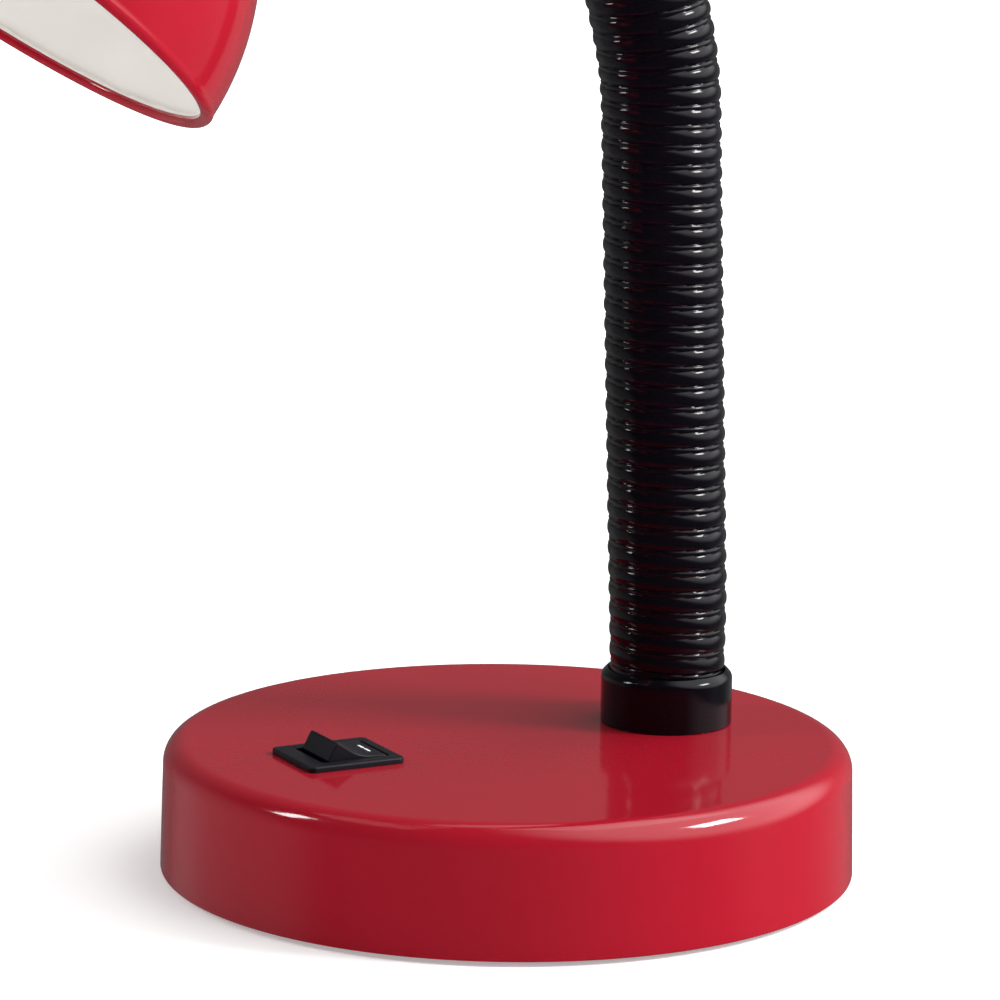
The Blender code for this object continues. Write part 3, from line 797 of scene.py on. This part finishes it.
@dataclass
class NeckSleeve:
    """The ribbed black sleeve: one helical surface, cut between the hinges into closed lengths.

    For each length, build works out points on the route seam_inset in from its ends. For the first
    length the lower point lies above clamped, the part of the neck that the lower collar holds.
    Nothing uses these points.
    """

    paint: Paintbox
    route: NeckRoute
    seam_inset: float = 3.2 * MM
    clamped: float = 12.0 * MM
    crest: float = 13.0 * MM
    foot_crest: float = 12.55 * MM
    foot_run: float = 30.0 * MM
    depth: float = 0.9 * MM
    foot_depth: float = 0.55 * MM
    pitch_low: float = 4.72 * MM
    pitch_high: float = 4.15 * MM
    pitch_run: float = 0.15
    bore: float = 10.3 * MM
    rows_per_pitch: int = 16
    columns: int = 96

    def ribs(self, phase: np.ndarray) -> np.ndarray:
        """Height of the ribs from 0 in the groove to 1 on the crest.

        A wide rib and a narrow low one share each turn: the height is the larger of two half
        ellipses, sqrt(1 - ((phase - middle) / half width)^2) times their own heights.
        """
        turn = phase % 1.0

        def lobe(middle: float, below: float, above: float, height: float) -> np.ndarray:
            """One half ellipse that repeats each turn, with its own half width on each side."""
            away = (turn - middle + 0.5) % 1.0 - 0.5
            half = np.where(away < 0, below, above)
            return height * np.sqrt(np.clip(1 - (away / half) ** 2, 0, 1))

        return np.maximum(lobe(0.37, 0.37, 0.42, 1.0), lobe(0.86, 0.16, 0.145, 0.64))

    def surface(self, along: np.ndarray, turn: np.ndarray) -> np.ndarray:
        """Points of the sleeve's outside.

        The radius is crest - depth * (1 - ribs(turns so far - turn / 2 pi)), laid out from the
        route across X and the route's normal.

        Args:
            along: lengths along the route.
            turn: angles round it.

        Returns:
            (len(along), len(turn), 3) points.
        """
        settle = smooth_step(along / self.foot_run)
        crest = self.foot_crest + (self.crest - self.foot_crest) * settle
        depth = self.foot_depth + (self.depth - self.foot_depth) * settle
        share = np.clip(along / self.pitch_run, 0, 1)
        pitch = self.pitch_low + (self.pitch_high - self.pitch_low) * share / 2
        counted = np.minimum(along, self.pitch_run) / pitch
        counted = counted + np.maximum(along - self.pitch_run, 0) / self.pitch_high
        phase = counted[:, None] + turn[None, :] / (2 * np.pi)
        radius = (crest[:, None] - depth[:, None] * (1 - self.ribs(phase)))[..., None]
        across, up = X_AXIS, self.route.normal(along)[:, None, :]
        aim = np.cos(turn)[None, :, None] * across + np.sin(turn)[None, :, None] * up
        return self.route.point(along)[:, None, :] + radius * aim

    def normals(self, along: np.ndarray, turn: np.ndarray) -> np.ndarray:
        """Unit normals of the outside, from small steps along it and round it."""
        small, little = 0.06 * MM, 0.004
        rise = self.surface(along + small, turn) - self.surface(along - small, turn)
        sweep = self.surface(along, turn + little) - self.surface(along, turn - little)
        across = np.cross(sweep, rise)
        return across / np.linalg.norm(across, axis=-1, keepdims=True)

    def build(self) -> None:
        """Make each length between two cuts and hide the CAD links that it stands for."""
        route = self.route
        cuts = (route.at_hinge[:-1] + route.at_hinge[1:]) / 2
        edges = np.concatenate([[0.0], cuts, [route.length]])
        turn = np.linspace(0, 2 * np.pi, self.columns, endpoint=False)
        material = self.paint.get(Finish.BLACK_GLOSS)
        for i in range(len(route.at_hinge)):
            first, last = edges[i], edges[i + 1]
            rows = int(np.ceil((last - first) / self.pitch_high * self.rows_per_pitch))
            along = np.linspace(first, last, rows + 1)
            outside = self.surface(along, turn)
            inner = np.linspace(last, first, max(rows // self.rows_per_pitch * 2, 2) + 1)
            aim = outside[:1] * 0 + np.cos(turn)[None, :, None] * X_AXIS
            aim = aim + np.sin(turn)[None, :, None] * route.normal(inner)[:, None, :]
            inside = route.point(inner)[:, None, :] + self.bore * aim
            grid = np.concatenate([outside, inside])
            points = grid.reshape(-1, 3)
            faces = quads(len(grid), self.columns, True)
            turned = outwards(points, faces)
            mesh = mesh_of(f"ribbed_sleeve_{i:02d}", points, turned)
            self._shade(mesh, turned, len(along), self.normals(along, turn).reshape(-1, 3))
            piece = add_piece(mesh.name, mesh, [material])
            bend_from = first + self.seam_inset if i else max(first, self.clamped)
            start = route.point(np.array([bend_from]))[0]
            end = route.point(np.array([last - self.seam_inset]))[0]
            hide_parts(*self._stands_for(i))
            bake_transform(piece)

    def _stands_for(self, number: int) -> list[str]:
        """The CAD sleeve links that a length stands for."""
        names = [f"neck_sleeve_{number + 1:02d}"]
        return ["neck_sleeve_00"] + names if number == 0 else names

    def _shade(self, mesh: bpy.types.Mesh, faces: np.ndarray, rows: int,
               normals: np.ndarray) -> None:
        """Give the outside its exact normals, so that neighbouring lengths meet unseen.

        Args:
            mesh: the length's mesh.
            faces: its faces.
            rows: rings that belong to the outside.
            normals: the outside's normals, ring by ring.
        """
        outside = (faces < rows * self.columns).all(axis=1)
        loops = np.zeros((faces.size, 3), np.float32)
        picked = np.repeat(outside, 4)
        loops[picked] = normals[faces.ravel()[picked]]
        mesh.normals_split_custom_set(loops)


@dataclass
class Collar:
    """A black collar round one end of the neck."""

    paint: Paintbox
    radius: float = 14.4 * MM
    shoulder: tuple[float, float] = (14.4 * MM, 10.7 * MM)
    height: float = 12.1 * MM
    lip_bore: float = 12.75 * MM
    bore: float = 13.3 * MM
    floor: float = 3.0 * MM
    floor_bore: float = 6.3 * MM
    columns: int = 160

    def build(self, node: str, body: str, axis: Axis) -> None:
        """Turn the collar.

        Args:
            node: the CAD node that it stands for.
            body: the body that it rides on.
            axis: its axis, with the origin at its floor and pointing up the sleeve.
        """
        outline = rounded([
            (self.floor_bore, 0.0, 0.0), (self.radius, 0.0, 0.25 * MM),
            (*self.shoulder, 1.8 * MM), (self.lip_bore + 0.3 * MM, self.height, 0.3 * MM),
            (self.lip_bore, self.height - 0.4 * MM, 0.1 * MM),
            (self.bore, self.height - 1.2 * MM, 0.0),
            (self.bore, self.floor, 0.0), (self.floor_bore, self.floor, 0.0),
        ], 6)
        collar = turned_piece(node + "_moulding", axis, outline, self.columns,
                              [self.paint.get(Finish.BLACK_GLOSS)])
        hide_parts(node)
        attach(collar, body)


# Head -----------------------------------------------------------------------------------------


@dataclass
class Head:
    """The dome shade, its ring and the bulb, on one axis that points back to the neck."""

    paint: Paintbox
    route: NeckRoute
    radius: float = 65.0 * MM
    depth: float = 62.0 * MM
    wall: float = 1.2 * MM
    bead: float = 1.4 * MM
    lip: float = 0.2 * MM
    seat: float = 24.5 * MM
    hole: float = 18.5 * MM
    ring_radius: float = 23.5 * MM
    ring_grips: int = 36
    bulb_radius: float = 22.5 * MM
    bulb_neck: float = 12.3 * MM
    columns: int = 256
    rows: int = 56
    axis: Axis = field(init=False)

    def __post_init__(self) -> None:
        """Find the axis and the rim plane from the frame."""
        back = -self.route.shade_axis
        through = self.route.hinges[-1]
        lowest = ((node_points("shade") - through) @ back).min()
        self.axis = Axis(through + back * (lowest + self.bead), back)

    def height(self, node: str) -> tuple[float, float]:
        """The lowest and highest places of a CAD node along the axis."""
        spread = (node_points(node) - self.axis.origin) @ self.axis.along
        return float(spread.min()), float(spread.max())

    def build(self) -> None:
        """Make the shade, the ring, the bulb and the upper collar."""
        self._shade()
        self._ring()
        self._bulb()
        back = self.height("upper_collar")[0]
        foot = Axis(self.axis.origin + self.axis.along * back, self.axis.along)
        Collar(self.paint, lip_bore=13.15 * MM).build("upper_collar", "head", foot)

    def _shade(self) -> None:
        """The dome: radius R sin(a) and height D cos(a) outside, the same less the wall inside."""
        first = np.arcsin(self.seat / self.radius)
        sweep = np.linspace(first, np.pi / 2, self.rows)
        outside = np.column_stack([self.radius * np.sin(sweep), self.depth * np.cos(sweep)])
        thinner = np.array([self.wall * np.sin(sweep), self.wall * np.cos(sweep)]).T
        inside = (outside - thinner)[::-1]
        outside, inside = outside[:-1], inside[1:]
        bead_turn = np.radians(np.linspace(30, -240, 20))
        bead = np.column_stack([
            self.radius - self.bead + self.lip + self.bead * np.cos(bead_turn),
            self.bead * np.sin(bead_turn),
        ])
        top = outside[0][1]
        outline = np.vstack([
            [[self.hole, top], [self.seat - 0.6 * MM, top]], outside, bead, inside,
            [[self.seat - 1.6 * MM, top - self.wall], [self.hole, top - self.wall]],
        ])
        grid = self.axis.turn(outline, self.columns)
        points = grid.reshape(-1, 3)
        faces = outwards(points, quads(len(grid), self.columns, True))
        mesh = mesh_of("dome_shade", points, faces)
        mesh.set_sharp_from_angle(angle=SHARP_ANGLE)
        materials = [self.paint.get(Finish.RED_GLOSS), self.paint.get(Finish.WHITE_ENAMEL)]
        shade = add_piece(mesh.name, mesh, materials)
        lining = 2 + len(outside) + len(bead) - 4
        ring = faces.min(axis=1) // self.columns
        last = len(grid) - 1
        white = (ring >= lining) & (ring < last) & (faces.max(axis=1) // self.columns > lining)
        mesh.polygons.foreach_set("material_index", white.astype(np.int32))
        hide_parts("shade")
        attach(shade, "head")

    def _ring(self) -> None:
        """The gripping ring under the shade: its outside waves in and out by cos(grips * a)."""
        low, high = self.height("shade_ring")
        outline = rounded([
            (self.hole, low, 0.0), (self.ring_radius, low, 0.7 * MM),
            (self.ring_radius, high, 0.5 * MM), (self.hole, high, 0.0),
        ], 5)
        columns = self.ring_grips * 8
        grid = self.axis.turn(outline, columns)
        turn = np.linspace(0, 2 * np.pi, columns, endpoint=False)
        centre = self.axis.origin + outline[:, 1, None, None] * self.axis.along
        outer = smooth_step((outline[:, 0] - self.hole) / (self.ring_radius - self.hole) * 2 - 1)
        wave = 1 - 0.018 * outer[:, None] * (0.5 - 0.5 * np.cos(self.ring_grips * turn))
        grid = centre + (grid - centre) * wave[..., None]
        points = grid.reshape(-1, 3)
        mesh = mesh_of("grip_ring", points, outwards(points, quads(len(grid), columns, True)))
        mesh.set_sharp_from_angle(angle=SHARP_ANGLE)
        ring = add_piece(mesh.name, mesh, [self.paint.get(Finish.WHITE_CERAMIC)])
        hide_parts("shade_ring")
        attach(ring, "head")

    def _bulb(self) -> None:
        """The opal globe: a sphere that flows into its neck along a cosine ramp."""
        low, high = self.height("bulb_glass")
        share = np.linspace(0, 1, 72)
        sweep = -np.pi / 2 + share * (np.pi / 2 + np.radians(52))
        centre = low + self.bulb_radius
        sphere = np.column_stack([
            self.bulb_radius * np.cos(sweep), centre + self.bulb_radius * np.sin(sweep),
        ])
        sphere[0, 0] = 0.0
        rise = np.linspace(0, 1, 14)[1:]
        ease = 0.5 - 0.5 * np.cos(np.pi * rise)
        neck = np.column_stack([
            sphere[-1, 0] + (self.bulb_neck - sphere[-1, 0]) * ease ** 0.8,
            sphere[-1, 1] + (high - sphere[-1, 1]) * rise,
        ])
        outline = np.vstack([sphere, neck, [[0.0, high]]])
        glass = turned_piece("opal_globe", self.axis, outline, 128,
                             [self.paint.get(Finish.FROSTED_GLASS)])
        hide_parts("bulb_glass")
        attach(glass, "head")


# Stage ----------------------------------------------------------------------------------------


@dataclass
class Studio:
    """The camera, the pale floor and the soft lights, laid out from the camera's heading.

    A glow is its bearing and elevation in degrees, the cosines where it starts and where it is
    full, and its strength. A softbox is the arguments of _softbox.
    """

    heading: float = 28.0
    pitch: float = 11.39
    roll: float = 0.8
    lens: float = 180.0
    sideways: float = -2.46 * MM
    distance: float = 1049.0 * MM
    eye_height: float = 292.8 * MM
    floor_radius: float = 2.6
    floor_glow: tuple[float, float, float, float] = (0.15, 1.0, 0.35, 1.0)
    aim_height: float = 0.12
    surround: float = 0.04
    glows: tuple = (
        (180.0, 12.0, 0.3, 0.8, 0.1),
        (88.0, 40.0, 0.56, 0.88, 2.4),
        (120.0, -10.0, 0.7, 0.95, 0.1),
        (-105.0, -14.0, 0.7, 0.95, 0.3),
    )
    softboxes: tuple = (
        ("right_strip", 81.0, 33.0, 1.2, (0.34, 0.24), 12.5),
        ("left_panel", -85.0, 34.0, 1.4, (0.2, 0.36), 5.5),
        ("top_panel", 150.0, 68.0, 1.4, (0.9, 0.9), 3.0),
    )

    def __post_init__(self) -> None:
        """Work out the directions to the right of the camera and away from it."""
        turn = np.radians(self.heading)
        self.right = np.array([np.sin(turn), np.cos(turn), 0.0])
        self.away = np.array([-np.cos(turn), np.sin(turn), 0.0])

    def build(self) -> None:
        """Make the camera, the floor, the surroundings and the lights."""
        self._camera()
        self._floor()
        self._surroundings()
        for softbox in self.softboxes:
            self._softbox(*softbox)
        view = bpy.context.scene.view_settings
        view.view_transform = "Standard"
        view.look = "None"

    def _camera(self) -> None:
        """A long lens, tilted down and rolled slightly."""
        pitch, roll = np.radians(self.pitch), np.radians(self.roll)
        forward = self.away * np.cos(pitch) - Z_AXIS * np.sin(pitch)
        up = np.cross(self.right, forward)
        right = np.cos(roll) * self.right + np.sin(roll) * up
        up = np.cross(right, forward)
        eye = self.right * self.sideways - self.away * self.distance + Z_AXIS * self.eye_height
        camera = bpy.data.objects.new("camera", bpy.data.cameras.new("camera"))
        camera.data.lens = self.lens
        camera.data.sensor_width = 36.0
        columns = np.column_stack([right, up, -forward])
        camera.matrix_world = Matrix.Translation(eye) @ Matrix(columns.tolist()).to_4x4()
        bpy.context.scene.collection.objects.link(camera)
        bpy.context.scene.camera = camera

    def _floor(self) -> None:
        """A plain round floor whose own faint glow rises to white far from the lamp."""
        axis = Axis(np.zeros(3), Z_AXIS)
        reach = self.floor_radius
        outline = np.array([[0.0, 0.0], [reach, 0.0], [reach, -0.01], [0.0, -0.01]])
        grid = axis.turn(outline, 96)
        points = grid.reshape(-1, 3)
        mesh = mesh_of("floor", points, outwards(points, quads(4, 96, True)))
        close_poles(mesh)
        shader = Shader("floor_paper")
        away = shader.node("VectorMath", {"operation": "LENGTH"}, 1, in_0=shader.position())
        near, far, dim, bright = self.floor_glow
        glow = shader.node("MapRange", {"interpolation_type": "SMOOTHSTEP"}, in_0=away,
                           in_1=near, in_2=far, in_3=dim, in_4=bright)
        shader.set("Base Color", (0.8, 0.8, 0.8, 1.0))
        shader.set("Roughness", 0.9)
        shader.set("Specular IOR Level", 0.1)
        shader.set("Emission Color", glow)
        shader.set("Emission Strength", 1.0)
        mesh.materials.append(shader.material)
        floor = bpy.data.objects.new("floor", mesh)
        bpy.context.scene.collection.objects.link(floor)
        floor.visible_glossy = False

    def _aim(self, bearing: float, elevation: float) -> np.ndarray:
        """The direction from the lamp at degrees right of the camera and above the floor."""
        turn, rise = np.radians(bearing), np.radians(elevation)
        level = np.sin(turn) * self.right - np.cos(turn) * self.away
        return level * np.cos(rise) + Z_AXIS * np.sin(rise)

    def _surroundings(self) -> None:
        """Surroundings that look white but give a dim light, with soft glows from some sides."""
        world = bpy.data.worlds.new("surroundings")
        world.use_nodes = True
        tree = NodeTree(world.node_tree)
        direction = tree.node("TexCoord", output="Generated")
        light: Signal | float = self.surround
        for bearing, elevation, start, full, gain in self.glows:
            facing = tree.node("VectorMath", {"operation": "DOT_PRODUCT"}, "Value",
                               in_0=direction, in_1=self._aim(bearing, elevation))
            glow = tree.node("MapRange", {"interpolation_type": "SMOOTHSTEP"}, in_0=facing,
                             in_1=start, in_2=full, in_4=gain)
            light = glow + light
        seen = tree.node("LightPath", output="Is Camera Ray")
        background = world.node_tree.nodes["Background"].inputs
        tree.feed(background["Strength"], tree.node("MapRange", in_0=seen, in_3=light, in_4=1.0))
        background["Color"].default_value = (1.0, 1.0, 1.0, 1.0)
        bpy.context.scene.world = world

    def _softbox(self, name: str, bearing: float, elevation: float, reach: float,
                 size: tuple[float, float], power: float) -> None:
        """A rectangular light that faces the lamp.

        Args:
            name: the light's name.
            bearing: degrees to the right of the camera, seen from the lamp.
            elevation: degrees above the floor.
            reach: distance from the lamp.
            size: width and height.
            power: watts.
        """
        aim = self._aim(bearing, elevation)
        target = Vector((0.0, 0.0, self.aim_height))
        data = bpy.data.lights.new(name, "AREA")
        data.shape = "RECTANGLE"
        data.size, data.size_y = size
        data.energy = power
        light = bpy.data.objects.new(name, data)
        spot = target + Vector(aim * reach)
        facing = (target - spot).to_track_quat("-Z", "Y").to_matrix().to_4x4()
        light.matrix_world = Matrix.Translation(spot) @ facing
        bpy.context.scene.collection.objects.link(light)


def smooth_copy(node: str, body: str) -> None:
    """Stand in for a CAD node with a merged copy of its mesh that is shaded smooth.

    Args:
        node: the CAD node.
        body: the body that it rides on.
    """
    source = frame["nodes"][node].data
    mesh = source.copy()
    mesh.name = node + "_finished"
    close_poles(mesh)
    mesh.shade_smooth()
    mesh.set_sharp_from_angle(angle=SHARP_ANGLE)
    piece = bpy.data.objects.new(mesh.name, mesh)
    bpy.context.scene.collection.objects.link(piece)
    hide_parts(node)
    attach(piece, body)
    log.info("smoothed %s", node)


def paint_frame(paint: Paintbox) -> None:
    """Give every CAD node the finish that its record slot names."""
    for part in frame["record"]["subparts"]:
        finish = Finish[part["material_slot"].upper()]
        node = frame["nodes"][part["node"]]
        if part["node"].startswith("switch_"):
            finish = Finish.BLACK_SWITCH
        node.data.materials.clear()
        node.data.materials.append(paint.get(finish))


def main() -> None:
    """Build the stage and every piece."""
    logging.basicConfig(level=logging.INFO, format="%(message)s")
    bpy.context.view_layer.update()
    Studio().build()
    paint = Paintbox()
    paint_frame(paint)
    BaseShell(paint).build()
    RockerSwitch(paint).build()
    route = NeckRoute()
    NeckSleeve(paint, route).build()
    low, high = (np.array(v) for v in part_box("neck_collar"))
    foot = Axis(np.array([0.0, (low[1] + high[1]) / 2, low[2]]), Z_AXIS)
    Collar(paint).build("neck_collar", "base", foot)
    Head(paint, route).build()
    for node, body in (("socket_cup", "head"), ("lampholder_body", "head"),
                       ("cord_grommet", "base"), ("foot_pad", "base")):
        smooth_copy(node, body)


if __name__ == "__main__":
    main()
